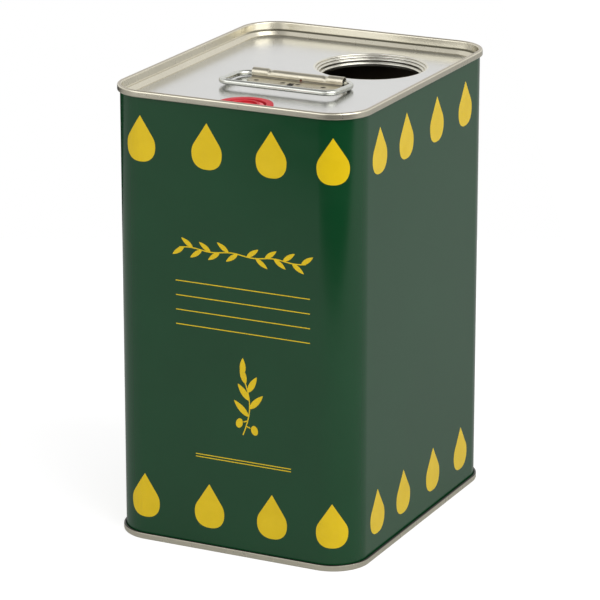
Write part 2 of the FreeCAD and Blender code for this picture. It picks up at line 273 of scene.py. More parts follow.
# Studio: world, floor and lamps; a span is the upward part of a view direction
fill_strength = 0.6
ceiling_strength = 0.28
ceiling_span = (0.60, 0.90)
under_strength = 0.02
under_span = (-0.12, -0.04)
floor_reach = 4.0
floor_front = 0.47
floor_front_bend = 0.56
floor_rear = 0.42
floor_rear_side = 0.15
floor_grey = 0.42
floor_camera_glow = 0.72
floor_gloss_glow = 0.07
lamp_target = Vector((0, 0, 0.1))
key_place = Vector((1.5, -0.45, 1.3))
key_size = 2.0
key_power = 32
fill_place = Vector((-0.85, -1.68, 0.88))
fill_size = 1.9
fill_power = 12.5

# Camera, as solved from the tin's edges in the photograph
camera_target = Vector((0, -0.00361, 0.0966))
camera_azimuth = 26.13
camera_elevation = 17.37
camera_distance = 1.5398
camera_lens = 207.8


def named(rows, name):
    """The row of a table of the frame that has this name."""
    return next(row for row in rows if row["name"] == name)


# Sizes read from the frame, and what follows from them
top_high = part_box("top_end")[1]
clip_low, clip_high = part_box("handle_clip")
bail_low, bail_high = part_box("handle_bail")
base_low, base_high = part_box("spout_base")
tube_low, tube_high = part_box("spout_tube")
cap_low, cap_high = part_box("spout_cap")
liner_low, liner_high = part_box("cap_liner")
pull_low, pull_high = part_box("cap_pull")
mouth_place = named(frame["record"]["mounts"], "mouth")["pos_m"]
bail_axis = named(frame["joints"], "bail_swing")["pos_m"]
tin_height = top_high.z
panel_top = clip_low.z
seam_overhang = 3 * (plate + seam_gap)
half_width = top_high.x - seam_overhang
half_depth = top_high.y - seam_overhang
corner_x = half_width - corner_radius
corner_y = half_depth - corner_radius
corner_arc = corner_radius * math.pi / 2
girth = 4 * (corner_x + corner_y + corner_arc)
spout_x = (base_low.x + base_high.x) / 2
spout_y = (base_low.y + base_high.y) / 2
tube_radius = (liner_high.x - liner_low.x) / 2
clip_x = (clip_low.x + clip_high.x) / 2
clip_y = (clip_low.y + clip_high.y) / 2

# Folds of the double seam, from its sheet, gap and height
hook_radius = plate / 2 + seam_gap
crown_radius = (4 * (plate + seam_gap) - seam_crown_flat - plate) / 2
crown_rise = hook_radius + plate + seam_gap - crown_radius
hook_plane = tin_height - crown_radius - plate - crown_rise
hook_length = seam_height - (tin_height - hook_plane) - hook_radius - plate


# Mesh helpers

def polar(length, angle):
    """Level vector of a length at an angle in radians."""
    return Vector((length * math.cos(angle), length * math.sin(angle), 0))


def run(length):
    """A straight stretch of folded sheet."""
    return ("run", length)


def bend(degrees, inside_radius):
    """A fold in the sheet: left turns are positive."""
    return ("bend", degrees, inside_radius)


def sheet_side(start, heading, moves, thickness, side):
    """Points along one face of a folded sheet, as across and up: side 1 is its left face, -1 its right."""
    across, up = start
    angle = math.radians(heading)
    offset = side * thickness / 2
    points = [(across - math.sin(angle) * offset, up + math.cos(angle) * offset)]
    for move in moves:
        if move[0] == "run":
            across += math.cos(angle) * move[1]
            up += math.sin(angle) * move[1]
            points.append((across - math.sin(angle) * offset, up + math.cos(angle) * offset))
            continue
        turn = math.radians(move[1])
        radius = math.copysign(move[2] + thickness / 2, turn)
        centre_across = across - math.sin(angle) * radius
        centre_up = up + math.cos(angle) * radius
        steps = math.ceil(abs(move[1]) / bend_step)
        for step in range(1, steps + 1):
            now = angle + turn * step / steps
            reach = radius - offset
            points.append((centre_across + math.sin(now) * reach, centre_up - math.cos(now) * reach))
        angle += turn
        across = centre_across + math.sin(angle) * radius
        up = centre_up - math.cos(angle) * radius
    return points


def sheet_outline(start, heading, moves, thickness):
    """Points along the right face of a folded sheet and back along its left face."""
    right = sheet_side(start, heading, moves, thickness, -1)
    left = sheet_side(start, heading, moves, thickness, 1)
    return right + left[::-1]


def rounded(corners, radius):
    """A closed outline with each corner turned into a small arc."""
    points = []
    count = len(corners)
    for index, corner in enumerate(corners):
        here = Vector(corner)
        back = Vector(corners[index - 1]) - here
        ahead = Vector(corners[(index + 1) % count]) - here
        cut = min(radius, back.length / 3, ahead.length / 3)
        first = here + back.normalized() * cut
        last = here + ahead.normalized() * cut
        for share in edge_shares:
            curve = first * (1 - share) ** 2 + here * 2 * share * (1 - share) + last * share ** 2
            points.append(tuple(curve))
    return points


def skin(mesh, rings, ring_closed=True):
    """Faces between neighbouring rings of vertices, as one list of faces for each pair of rings."""
    bands = []
    for first, second in zip(rings, rings[1:]):
        count = len(first)
        band = []
        for index in range(count if ring_closed else count - 1):
            after = (index + 1) % count
            band.append(mesh.faces.new((first[index], first[after], second[after], second[index])))
        bands.append(band)
    return bands


def capped_skin(mesh, rings):
    """Faces between rings, with the first and the last ring closed."""
    skin(mesh, rings)
    mesh.faces.new(rings[0])
    mesh.faces.new(rings[-1])


def paint(bands, index):
    """Give bands of faces one of the piece's materials."""
    for band in bands:
        for face in band:
            face.material_index = index


def ring_edges(mesh, ring):
    """Edges round a ring of vertices."""
    edges = []
    for first, second in zip(ring, ring[1:] + ring[:1]):
        edges.append(mesh.edges.get((first, second)) or mesh.edges.new((first, second)))
    return edges


def tin_ring(mesh, across, up):
    """Ring round the tin's rounded rectangle, at a distance across from the corners' centres."""
    ring = []
    for turn, (side_x, side_y) in enumerate(((1, 1), (-1, 1), (-1, -1), (1, -1))):
        centre = Vector((side_x * corner_x, side_y * corner_y, up))
        for step in range(corner_steps + 1):
            angle = math.radians(90 * (turn + step / corner_steps))
            ring.append(mesh.verts.new(centre + polar(across, angle)))
    return ring


def round_rings(mesh, axis, outline, steps):
    """Circles about an upright axis, one for each radius and height of an outline."""
    angles = [2 * math.pi * step / steps for step in range(steps)]
    rings = []
    for radius, up in outline:
        middle = Vector((axis[0], axis[1], up))
        rings.append([mesh.verts.new(middle + polar(radius, angle)) for angle in angles])
    return rings


def spout_rings(mesh, outline, steps=spout_steps):
    """Circles about the spout's axis."""
    return round_rings(mesh, (spout_x, spout_y), outline, steps)


def mesh_object(name, mesh, materials):
    """Turn a bmesh into a named object."""
    bmesh.ops.recalc_face_normals(mesh, faces=mesh.faces)
    data = bpy.data.meshes.new(name)
    mesh.to_mesh(data)
    mesh.free()
    for material in materials:
        data.materials.append(material)
    piece = bpy.data.objects.new(name, data)
    bpy.context.scene.collection.objects.link(piece)
    return piece


def finish_piece(name, mesh, body, materials, node=None):
    """Turn a bmesh into a smooth piece that rides on a body and may stand for a CAD node."""
    piece = mesh_object(name, mesh, materials)
    piece.data.polygons.foreach_set("use_smooth", [True] * len(piece.data.polygons))
    piece.data.set_sharp_from_angle(angle=math.radians(sharp_angle))
    normals = piece.modifiers.new("flat faces stay flat", "WEIGHTED_NORMAL")
    normals.keep_sharp = True
    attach(piece, body)
    if node:
        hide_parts(node)


# Node helpers

def put(tree, socket, value):
    """Link a socket, or set it to a plain number, vector or colour."""
    if isinstance(value, bpy.types.NodeSocket):
        tree.links.new(value, socket)
    elif socket.type == "RGBA":
        socket.default_value = (*value, 1)
    else:
        socket.default_value = value


def feed(tree, node, values):
    """Put values on a node's inputs by their names."""
    for name, value in values.items():
        put(tree, node.inputs[name], value)


def add_node(tree, kind, values):
    """A new node with values on its inputs."""
    node = tree.nodes.new("ShaderNode" + kind)
    feed(tree, node, values)
    return node


def new_material(name):
    """A material, its tree and its surface shader."""
    material = bpy.data.materials.new(name)
    material.use_nodes = True
    return material, material.node_tree, material.node_tree.nodes["Principled BSDF"]


def place_on(tree):
    """The place on the object, in its own metres."""
    return tree.nodes.new("ShaderNodeTexCoord").outputs["Object"]


def combine(tree, operation, first, second):
    """One factor from two by a maths operation; either may be a plain number."""
    node = tree.nodes.new("ShaderNodeMath")
    node.operation = operation
    put(tree, node.inputs[0], first)
    put(tree, node.inputs[1], second)
    return node.outputs["Value"]


def map_range(tree, factor, span, low=0, high=1, smooth=False):
    """A number that goes from low to high as the factor goes over a span."""
    values = {"Value": factor, "From Min": span[0], "From Max": span[1], "To Min": low, "To Max": high}
    node = add_node(tree, "MapRange", values)
    if smooth:
        node.interpolation_type = "SMOOTHSTEP"
    return node.outputs["Result"]


def noise(tree, scale, detail=3, stretch=(1, 1, 1)):
    """Noise in the object's own metres; stretch scales each axis."""
    mapping = add_node(tree, "Mapping", {"Vector": place_on(tree), "Scale": stretch})
    values = {"Vector": mapping.outputs["Vector"], "Scale": scale, "Detail": detail}
    return add_node(tree, "TexNoise", values).outputs["Fac"]


def spread(tree, factor, low, high):
    """A number from low to high as noise goes over its usual span."""
    return map_range(tree, factor, noise_span, low, high)


def ramp(tree, factor, span, first, last):
    """Colours from first to last as the factor goes over a span."""
    node = add_node(tree, "ValToRGB", {"Fac": factor})
    for element, position, colour in zip(node.color_ramp.elements, span, (first, last)):
        element.position = position
        element.color = (*colour, 1)
    return node.outputs["Color"]


def colour_socket(sockets, name):
    """The colour socket of this name: a mix node has sockets of other kinds by the same name."""
    return next(socket for socket in sockets if socket.name == name and socket.type == "RGBA")


def tint(tree, factor, first, second):
    """One colour over another, as far as the factor says."""
    mix = tree.nodes.new("ShaderNodeMix")
    mix.data_type = "RGBA"
    put(tree, mix.inputs["Factor"], factor)
    for name, colour in (("A", first), ("B", second)):
        put(tree, colour_socket(mix.inputs, name), colour)
    return colour_socket(mix.outputs, "Result")


def bump(tree, shader, layers):
    """Bumps from heights with a depth in metres, one on top of the other."""
    last = None
    for height, depth in layers:
        layer = add_node(tree, "Bump", {"Distance": depth, "Height": height})
        if last:
            put(tree, layer.inputs["Normal"], last)
        last = layer.outputs["Normal"]
    put(tree, shader.inputs["Normal"], last)


def spot(tree, place, radius):
    """1 inside a small round mark, falling to 0 at its rim."""
    away = tree.nodes.new("ShaderNodeVectorMath")
    away.operation = "DISTANCE"
    put(tree, away.inputs[0], place_on(tree))
    put(tree, away.inputs[1], place)
    return map_range(tree, away.outputs["Value"], (radius, radius / 2), smooth=True)


def stripe(tree, axis, middle, reach):
    """1 along the middle of a straight stripe across one axis, falling to 0 at its edges."""
    parts = add_node(tree, "SeparateXYZ", {"Vector": place_on(tree)})
    away = combine(tree, "SUBTRACT", parts.outputs[axis], middle)
    size = combine(tree, "ABSOLUTE", away, 0)
    return map_range(tree, size, (reach, reach / 3), smooth=True)


# Materials

def printed_ink(name, colours, patch_scale, grain_share, rough):
    """Varnished ink on the outside of the body sheet, with faint patches and a fine grain."""
    material, tree, shader = new_material(name)
    colour = ramp(tree, noise(tree, patch_scale), noise_span, colours[0], colours[1])
    grain = noise(tree, scale=5200, detail=2)
    feed(tree, shader, {
        "Base Color": tint(tree, spread(tree, grain, 0, grain_share), colour, colours[2]),
        "Roughness": spread(tree, noise(tree, scale=70), *rough),
        "IOR": gloss_refraction,
    })
    wave = noise(tree, scale=16, detail=1)
    peel = noise(tree, scale=1100, detail=2)
    bump(tree, shader, [(wave, print_wave_depth), (peel, print_peel_depth)])
    return material


def bright_plate(name, colours, rough, stretch):
    """Tinplate with fine grain, scaled on each axis by stretch, and a painted shadow on the panel in the clip's
    notch.
    """
    material, tree, shader = new_material(name)
    grain = noise(tree, scale=60, detail=4, stretch=stretch)
    colour = ramp(tree, noise(tree, scale=38), plate_cloud_span, *colours)
    colour = tint(tree, spread(tree, grain, low=0, high=0.35), colour, colours[1])
    flange_end = clip_y - tunnel_radius - clip_plate - clip_foot_radius - clip_flange
    # Painted shadow on the panel in the clip's notch: black, rough and not metal
    notch = spot(tree, (clip_x, flange_end + notch_depth / 2, panel_top), notch_shadow_radius)
    feed(tree, shader, {
        "Base Color": tint(tree, notch, colour, notch_painted_shadow),
        "Metallic": combine(tree, "SUBTRACT", 1, notch),
        "Roughness": combine(tree, "MAXIMUM", spread(tree, grain, *rough), notch),
    })
    wave = noise(tree, scale=22, detail=1)
    bump(tree, shader, [(wave, sheet_wave_depth), (grain, plate_grain_depth)])
    return material


def rim_plate():
    """Duller tinplate of the folded rims, with painted shade at the foot of the rear chuck wall and along the top
    edge of the bottom seam, and a painted dark reflection on the crown's top that dims its highlight.
    """
    material, tree, shader = new_material("rim_plate")
    grain = noise(tree, scale=60, detail=4, stretch=(8, 8, 2))
    colour = ramp(tree, noise(tree, scale=38), plate_cloud_span, rim_tin[0], rim_tin[1])
    colour = tint(tree, spread(tree, grain, low=0, high=0.1), colour, rim_tin[2])
    # Painted shade: a thin dark line at the foot of the chuck wall, at the rear only
    line = stripe(tree, "Z", tin_height - countersink_depth + wall_foot_shade_rise, wall_foot_shade_half_width)
    wall_foot_shade_mask = combine(tree, "MULTIPLY", line, stripe(tree, "Y", half_depth, wall_foot_shade_reach))
    colour = tint(tree, wall_foot_shade_mask, colour, wall_foot_painted_shade)
    # Painted shade along the top edge of the bottom seam, where the body meets it
    colour = tint(tree, stripe(tree, "Z", seam_height, seam_edge_shade_half_width), colour, seam_edge_painted_shade)
    # Painted dark reflection on the top of the crown, which dims its highlight
    colour = tint(tree, stripe(tree, "Z", tin_height, crown_dark_reflection_depth), colour, crown_painted_dark_reflection)
    rough = spread(tree, grain, low=0.27, high=0.30)
    feed(tree, shader, {"Base Color": colour, "Metallic": rim_metal_share, "Roughness": rough})
    bump(tree, shader, [(noise(tree, scale=22, detail=1), sheet_wave_depth)])
    return material


def inner_lacquer():
    """Brown-gold lacquer on the inside of the body sheet."""
    material, tree, shader = new_material("inner_lacquer")
    cloud = noise(tree, scale=45)
    colour = ramp(tree, cloud, noise_span, *lacquer_gold)
    rough = spread(tree, cloud, low=0.35, high=0.5)
    feed(tree, shader, {"Base Color": colour, "Metallic": lacquer_metal_share, "Roughness": rough})
    bump(tree, shader, [(noise(tree, scale=900, detail=2), lacquer_peel_depth)])
    return material


def clip_steel():
    """Tinned strip of the clip: draw marks along it, painted shade in the crease at the wall's foot, weld spots
    painted dark as partly scorch and partly shade in the dents, and some rust.
    """
    material, tree, shader = new_material("clip_steel")
    grain = noise(tree, scale=55, detail=4, stretch=(1, 22, 22))
    cloud = noise(tree, scale=260)
    colour = ramp(tree, cloud, wear_cloud_span, clip_tin[0], clip_tin[1])
    colour = tint(tree, spread(tree, grain, low=0, high=0.5), colour, clip_tin[2])
    foot = panel_top + clip_plate + clip_foot_radius
    # Painted shade in the crease at the foot of the tunnel's wall, and weld spots painted dark, partly scorch and
    # partly shade in the dents
    shade_and_scorch = combine(tree, "MULTIPLY", stripe(tree, "Z", foot, crease_shade_half_width), crease_shade_share)
    for across, along in dent_places:
        centre = (clip_x + across, clip_y + along, panel_top + clip_plate)
        shade_and_scorch = combine(tree, "MAXIMUM", shade_and_scorch, spot(tree, centre, dent_scorch_and_shade_radius))
    colour = tint(tree, shade_and_scorch, colour, scorch_and_painted_shade)
    rust = (clip_x + rust_place[0], clip_y - tunnel_radius - clip_plate, panel_top + rust_place[1])
    feed(tree, shader, {
        "Base Color": tint(tree, spot(tree, rust, rust_radius), colour, rust_red),
        "Metallic": combine(tree, "SUBTRACT", 1, shade_and_scorch),
        "Roughness": combine(tree, "MAXIMUM", spread(tree, grain, low=0.30, high=0.42), shade_and_scorch),
    })
    bump(tree, shader, [(grain, clip_grain_depth), (cloud, clip_cloud_depth)])
    return material


def zinc_wire():
    """Bright zinc on the drawn wire, with faint marks along it."""
    material, tree, shader = new_material("zinc_wire")
    cloud = noise(tree, scale=420)
    drawn = noise(tree, scale=240, stretch=(0.2, 1, 3))
    colour = ramp(tree, cloud, wear_cloud_span, wire_zinc[0], wire_zinc[1])
    feed(tree, shader, {
        "Base Color": tint(tree, spread(tree, drawn, low=0, high=0.3), colour, wire_zinc[2]),
        "Metallic": 1,
        "Roughness": spread(tree, drawn, low=0.22, high=0.32),
    })
    bump(tree, shader, [(drawn, wire_draw_depth), (cloud, wire_cloud_depth)])
    return material


def red_plastic(name, colours, rough):
    """Moulded red polyethylene with a faint flow pattern."""
    material, tree, shader = new_material(name)
    flow = noise(tree, scale=240)
    feed(tree, shader, {
        "Base Color": ramp(tree, flow, noise_span, *colours),
        "Roughness": spread(tree, flow, *rough),
        "IOR": gloss_refraction,
        "Subsurface Weight": plastic_scatter_share,
        "Subsurface Radius": plastic_scatter_radius,
    })
    grain = noise(tree, scale=2600, detail=2)
    bump(tree, shader, [(grain, plastic_grain_depth), (flow, plastic_flow_depth)])
    return material


def soft_seal(name, colours, scale):
    """Matt seal: a fine grain with tiny pores."""
    material, tree, shader = new_material(name)
    pores = noise(tree, scale, detail=4)
    colour = ramp(tree, pores, seal_pore_span, *colours)
    feed(tree, shader, {"Base Color": colour, "Roughness": spread(tree, pores, low=0.6, high=0.8)})
    bump(tree, shader, [(pores, seal_pore_depth)])
    return material


# Tin

def sloping_drop(drop, angle):
    """Two folds and a slope that take the sheet down by drop."""
    middle_radius = panel_bend_radius + plate / 2
    turn = math.radians(angle)
    slope = (drop - 2 * middle_radius * (1 - math.cos(turn))) / math.sin(turn)
    return [bend(angle, panel_bend_radius), run(slope), bend(-angle, panel_bend_radius)]


def end_moves():
    """Folds of an end's rim, from the cover hook to the edge of the flat panel."""
    chuck_wall = countersink_depth - crown_radius - plate - panel_bend_radius
    turn = bend(90, crown_radius)
    hook = [run(hook_length), bend(180, hook_radius)]
    crown = [run(hook_length + crown_rise), turn, run(seam_crown_flat), turn]
    ledge = [run(chuck_wall), bend(-90, panel_bend_radius), run(ledge_width)]
    return hook + crown + ledge + sloping_drop(panel_drop, panel_drop_angle) + [run(panel_margin)]


def end_sheet(mesh, moves, height_of):
    """Rim of an end, in its second material, swept round the tin and left open for the panel."""
    start = (corner_radius + seam_gap + plate / 2, hook_plane)
    shown = sheet_side(start, -90, moves, plate, -1)
    hidden = sheet_side(start, -90, moves, plate, 1)
    rings = [tin_ring(mesh, across, height_of(up)) for across, up in shown[::-1] + hidden]
    paint(skin(mesh, rings), 1)
    return rings


def mouth_rings(mesh):
    """Rings of the stepped neck, down its upper face and back up its under face."""
    middle_radius = mouth_bend_radius + plate / 2
    down = bend(90, mouth_bend_radius)
    level = bend(-90, mouth_bend_radius)
    moves = [run(mouth_apron)]
    outer = mouth_radius
    for drop, inner in mouth_ledges:
        moves += [down, run(drop - 2 * middle_radius), level, run(outer - inner - 2 * middle_radius)]
        outer = inner
    moves += [down, run(neck_length - middle_radius)]
    start = (mouth_radius + plate / 2 + middle_radius + mouth_apron, panel_top - plate / 2)
    return round_rings(mesh, mouth_place, sheet_outline(start, 180, moves, plate), mouth_steps)


def make_top_end(materials):
    """Top end: seamed rim, recessed panel, stepped mouth and the hole for the spout."""
    mesh = bmesh.new()
    rings = end_sheet(mesh, end_moves(), lambda up: up)
    neck = mouth_rings(mesh)
    paint(skin(mesh, neck), 2)
    hole_radius = barrel_radius + hole_clearance
    hole = spout_rings(mesh, ((hole_radius, panel_top), (hole_radius, panel_top - plate)))
    skin(mesh, hole)
    for rim, mouth, spout in ((rings[0], neck[0], hole[0]), (rings[-1], neck[-1], hole[-1])):
        edges = ring_edges(mesh, rim) + ring_edges(mesh, mouth) + ring_edges(mesh, spout)
        bmesh.ops.triangle_fill(mesh, use_beauty=True, edges=edges)
    finish_piece("top_end_sheet", mesh, "tin", materials, "top_end")


def make_bottom_end(materials):
    """Bottom end: the same rim turned over, with one more expansion step in its panel."""
    mesh = bmesh.new()
    step = sloping_drop(bottom_step_drop, bottom_step_angle)
    moves = end_moves() + [run(bottom_step_setback)] + step + [run(panel_margin)]
    rings = end_sheet(mesh, moves, lambda up: tin_height - up)
    mesh.faces.new(rings[0])
    mesh.faces.new(rings[-1])
    finish_piece("bottom_end_sheet", mesh, "tin", materials, "bottom_end")


def make_body(materials):
    """Body sheet: printed outside, lacquered inside, with a hook turned outward at each end."""
    mesh = bmesh.new()
    hook = [run(hook_length), bend(-180, hook_radius)]
    moves = hook + [run(2 * hook_plane - tin_height)] + hook[::-1]
    start = (corner_radius + plate / 2 + 2 * hook_radius, tin_height - hook_plane + hook_length)
    rings = [tin_ring(mesh, across, up) for across, up in sheet_outline(start, -90, moves, plate)]
    bands = skin(mesh, rings + rings[:1])
    paint(bands[len(rings) // 2:], 1)
    finish_piece("printed_body", mesh, "tin", materials, "body_shell")


# Print

def wall_point(along, up, lift):
    """Point on the body wall: along runs from the middle of the label face round by the right face."""
    front = 2 * corner_x
    side = 2 * corner_y
    rest = (along + corner_x) % girth
    radius = corner_radius + lift
    turns = ((front, 1, -1), (side, 1, 1), (front, -1, 1), (side, -1, -1))
    for turn, (length, side_x, side_y) in enumerate(turns):
        forward = math.radians(90 * turn)
        outward = forward - math.pi / 2
        centre = Vector((side_x * corner_x, side_y * corner_y, up))
        if rest <= length:
            return centre - polar(length - rest, forward) + polar(radius, outward)
        rest -= length
        if rest <= corner_arc:
            return centre + polar(radius, outward + rest / corner_radius)
        rest -= corner_arc


def add_print(mesh, rows, columns=2, coat=1):
    """A patch of ink on the wall, from rows with a left and a right end; coat counts inks from the wall."""
    layers = []
    for lift in (coat * ink_lift, 0):
        grid = []
        for left, right in rows:
            line = []
            for column in range(columns):
                share = column / (columns - 1)
                along = left[0] + (right[0] - left[0]) * share
                up = left[1] + (right[1] - left[1]) * share
                line.append(mesh.verts.new(wall_point(along, up, lift)))
            grid.append(line)
        skin(mesh, grid, ring_closed=False)
        layers.append(grid)
    outlines = []
    for grid in layers:
        left_edge = [line[0] for line in grid]
        right_edge = [line[-1] for line in grid]
        outlines.append(grid[0] + right_edge[1:] + grid[-1][-2::-1] + left_edge[-2:0:-1])
    skin(mesh, outlines)


def finish_print(name, mesh, ink):
    """Close the points where rows shrink to nothing, and finish a printed piece."""
    bmesh.ops.remove_doubles(mesh, verts=mesh.verts, dist=ink_lift / 100)
    finish_piece(name, mesh, "tin", [ink])


def drop_rows(along, up):
    """A drop: a round foot, a little flattened below, and two straight sides that meet in a tip."""
    tangent = math.asin(drop_radius / drop_tip_height)
    rows = []
    for step in range(drop_arc_steps + 1):
        angle = -math.pi / 2 + (math.pi / 2 + tangent) * step / drop_arc_steps
        power = drop_foot_power if angle < 0 else 1
        half = drop_radius * abs(math.cos(angle)) ** power
        height = math.copysign(drop_radius * abs(math.sin(angle)) ** power, angle)
        rows.append(((along - half, up + height), (along + half, up + height)))
    for step in range(1, drop_side_steps + 1):
        share = step / drop_side_steps
        narrow = half * (1 - share)
        rise = up + height + (drop_tip_height - height) * share
        rows.append(((along - narrow, rise), (along + narrow, rise)))
    return rows


def make_drops(ink):
    """Two rows of drops right round the body, with the weld half a pitch from the drops beside it."""
    mesh = bmesh.new()
    weld = 3 * corner_x + 2 * corner_y + 3 * corner_arc + weld_from_rear - corner_radius
    pitch_before = (weld - seen_drops[-1]) / (drops_before_weld + 0.5)
    pitch_after = (girth + seen_drops[0] - weld) / (drops_after_weld + 0.5)
    places = list(seen_drops)
    places += [seen_drops[-1] + pitch_before * (step + 1) for step in range(drops_before_weld)]
    places += [weld + pitch_after * (step + 0.5) for step in range(drops_after_weld)]
    for up in (top_row_height, bottom_row_height):
        for along in places:
            add_print(mesh, drop_rows(along, up), columns=drop_columns)
    finish_print("printed_drops", mesh, ink)


def spindle_rows(place, heading, length, halves):
    """Rows of a slim shape along a heading, from shares of its length past a place and half widths."""
    way = polar(1, math.radians(heading)).xy
    rows = []
    for share, half in halves:
        middle = Vector(place) + way * length * share
        across = Vector((-way.y, way.x)) * half
        rows.append((tuple(middle - across), tuple(middle + across)))
    return rows


def leaf_rows(foot, heading, length, width):
    """A pointed leaf from its foot along a heading."""
    halves = []
    for step in range(leaf_steps + 1):
        share = step / leaf_steps
        swell = max(math.sin(math.pi * share ** leaf_belly_power), 0) ** leaf_fullness_power
        halves.append((share, width / 2 * swell))
    return spindle_rows(foot, heading, length, halves)


def olive_rows(centre, heading):
    """An oval olive."""
    halves = []
    for step in range(olive_steps + 1):
        turn = math.pi * step / olive_steps
        halves.append((-math.cos(turn) / 2, math.sin(turn) * olive_width / 2))
    return spindle_rows(centre, heading, olive_length, halves)


def line_rows(points, width):
    """A thin line through points."""
    rows = []
    for index, point in enumerate(points):
        before = Vector(points[max(index - 1, 0)])
        after = Vector(points[min(index + 1, len(points) - 1)])
        way = (after - before).normalized()
        across = Vector((-way.y, way.x)) * width / 2
        here = Vector(point)
        rows.append((tuple(here - across), tuple(here + across)))
    return rows


def garland_point(share):
    """Point of the garland's wavy stem."""
    wave = stem_width * math.sin(2 * math.pi * garland_wave_count * share)
    return ornament_x + garland_length * (share - 0.5), garland_height + wave


def add_stem(mesh, point_at, steps):
    """A thin stem through the points of a curve."""
    points = [point_at(step / steps) for step in range(steps + 1)]
    add_print(mesh, line_rows(points, stem_width))


def add_garland(mesh):
    """A wavy stem with leaves that point outward from its middle."""
    add_stem(mesh, garland_point, garland_steps)
    for index in range(garland_leaf_count):
        share = (index + 0.5) / garland_leaf_count
        heading = garland_leaf_angle if index % 2 else -garland_leaf_angle
        if share < 0.5:
            heading = 180 - heading
        leaf = leaf_rows(garland_point(share), heading, garland_leaf_length, garland_leaf_width)
        add_print(mesh, leaf, coat=2)


def add_rules(mesh, heights, length):
    """Level lines."""
    for up in heights:
        ends = [(ornament_x - length / 2, up), (ornament_x + length / 2, up)]
        add_print(mesh, line_rows(ends, rule_width))


def sprig_point(share):
    """Point of the sprig's bowed stem."""
    bow = sprig_length * sprig_bow_share * math.sin(math.pi * share)
    return ornament_x + bow, sprig_foot_height + sprig_length * share


def add_sprig(mesh):
    """An upright olive sprig: leaves to either side, and an olive on each side below them."""
    add_stem(mesh, sprig_point, sprig_steps)
    for index in range(sprig_leaf_count):
        share = sprig_bare_share + (1 - sprig_bare_share) * index / (sprig_leaf_count - 1)
        side = 1 if index % 2 else -1
        heading = 90 - side * sprig_leaf_angle * (1 - share ** 3)
        length = sprig_leaf_length * (1 - sprig_taper_share * share)
        leaf = leaf_rows(sprig_point(share), heading, length, sprig_leaf_width)
        add_print(mesh, leaf, coat=2 + index % 2)
    for share, side in zip(olive_shares, (1, -1)):
        foot = Vector(sprig_point(share))
        centre = foot + Vector((side * olive_width * olive_out_share, -olive_length * olive_down_share))
        add_print(mesh, line_rows([tuple(foot), tuple((foot + centre) / 2)], stem_width), coat=4)
        add_print(mesh, olive_rows(centre, 90 + side * olive_angle), coat=5)


def make_ornament(ink):
    """Label face: a leaf garland, ruled lines to write on, an olive sprig and a double rule."""
    mesh = bmesh.new()
    add_garland(mesh)
    add_rules(mesh, rule_heights, rule_length)
    add_rules(mesh, foot_rule_heights, foot_rule_length)
    add_sprig(mesh)
    finish_print("label_ornament", mesh, ink)


def make_weld(metal):
    """Bare margin down the left face with the welded lap along its middle."""
    mesh = bmesh.new()
    middle = half_depth - weld_from_rear
    half_lap = weld_lap_width / 2
    half_margin = weld_margin_width / 2
    half_crown = half_lap * weld_crown_share
    right = [(half_margin, 0), (half_margin, ink_lift), (half_lap, ink_lift), (half_crown, weld_lap_height)]
    outline = right + [(-across, lift) for across, lift in right[::-1]]
    rings = []
    for up in (seam_height, tin_height - seam_height):
        places = [(-half_width - lift, middle + across, up) for across, lift in outline]
        rings.append([mesh.verts.new(place) for place in places])
    capped_skin(mesh, rings)
    finish_piece("weld_margin", mesh, "tin", [metal])


# Handle

def ease(share):
    """Smooth step from 0 to 1."""
    share = min(max(share, 0), 1)
    return share * share * (3 - 2 * share)


def ridge_height(station):
    """Height of the clip's tunnel at a station along it: full ends, a crimp inside each, a lower saddle."""
    away = abs(station) - crimp_offset
    full = tunnel_height if away > 0 else saddle_height
    return crimp_height + (full - crimp_height) * ease(abs(away) / crimp_half_length)


def flange_length(station, half_length):
    """Width of the clip's flange at a station: rounded corners, and a notch in the middle."""
    if abs(station) < notch_width / 2:
        return clip_flange - notch_depth
    inset = max(clip_corner_radius - (half_length - abs(station)), 0)
    return clip_flange - clip_corner_radius + math.sqrt(clip_corner_radius ** 2 - inset ** 2)


def clip_stations(half_length):
    """Places along the clip, closer where its corners and notches are."""
    sliver = clip_plate / 20
    half_notch = notch_width / 2
    places = [side * (half_notch + off) for side in (-1, 1) for off in (-sliver, sliver)]
    for step in range(clip_corner_steps + 1):
        inset = clip_corner_radius * (1 - math.cos(math.pi / 2 * step / clip_corner_steps))
        places += [inset - half_length, half_length - inset]
    count = round((half_length - clip_corner_radius) / clip_step)
    for step in range(-count + 1, count):
        place = step * clip_step
        if abs(abs(place) - half_notch) > clip_step / 2:
            places.append(place)
    return sorted(set(places))


def dented(station, across, up):
    """Height of the clip's upper face, lowered in the weld dents."""
    for dent_x, dent_y in dent_places:
        away = math.hypot(station - dent_x, across - dent_y) / dent_radius
        up -= dent_depth * math.exp(-away * away * dent_sharpness)
    return up


